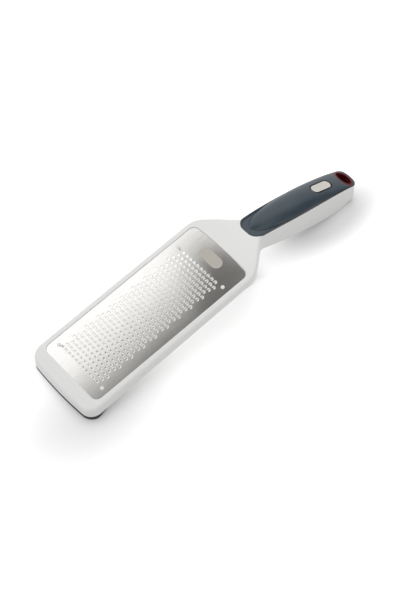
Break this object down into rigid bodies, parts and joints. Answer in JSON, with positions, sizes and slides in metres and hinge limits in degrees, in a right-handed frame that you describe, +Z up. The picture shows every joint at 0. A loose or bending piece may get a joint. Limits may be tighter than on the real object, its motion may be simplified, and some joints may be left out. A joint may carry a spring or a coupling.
{
  "type": "rasp zester",
  "caption": "Hand-held rasp zester: a wide steel plate of raised teeth staked into a white frame, with an arched soft grip, a front foot and a hanging hole.",
  "frame": {"origin": "on the table under the middle of the tool's bounding box, as it lies on its front foot and heel", "axes": "+X from the front foot to the handle tip, +Y to the left across the plate, +Z up from the table"},
  "size_m": [0.3052, 0.0744, 0.0433],
  "materials": {
    "white_plastic": "gloss",
    "rasp_steel": "brushed",
    "foot_rubber": "matte",
    "core_plastic": "matte",
    "grip_rubber": "soft touch",
    "badge_metal": "satin",
    "badge_pad": "matte",
    "liner_plastic": "satin"
  },
  "bodies": {
    "root": {"frame_body": "white_plastic", "rasp_plate": "rasp_steel", "front_foot": "foot_rubber", "grip_core": "core_plastic", "grip": "grip_rubber", "badge": "badge_metal", "badge_pad": "badge_pad", "hang_liner": "liner_plastic"}
  },
  "joints": []
}
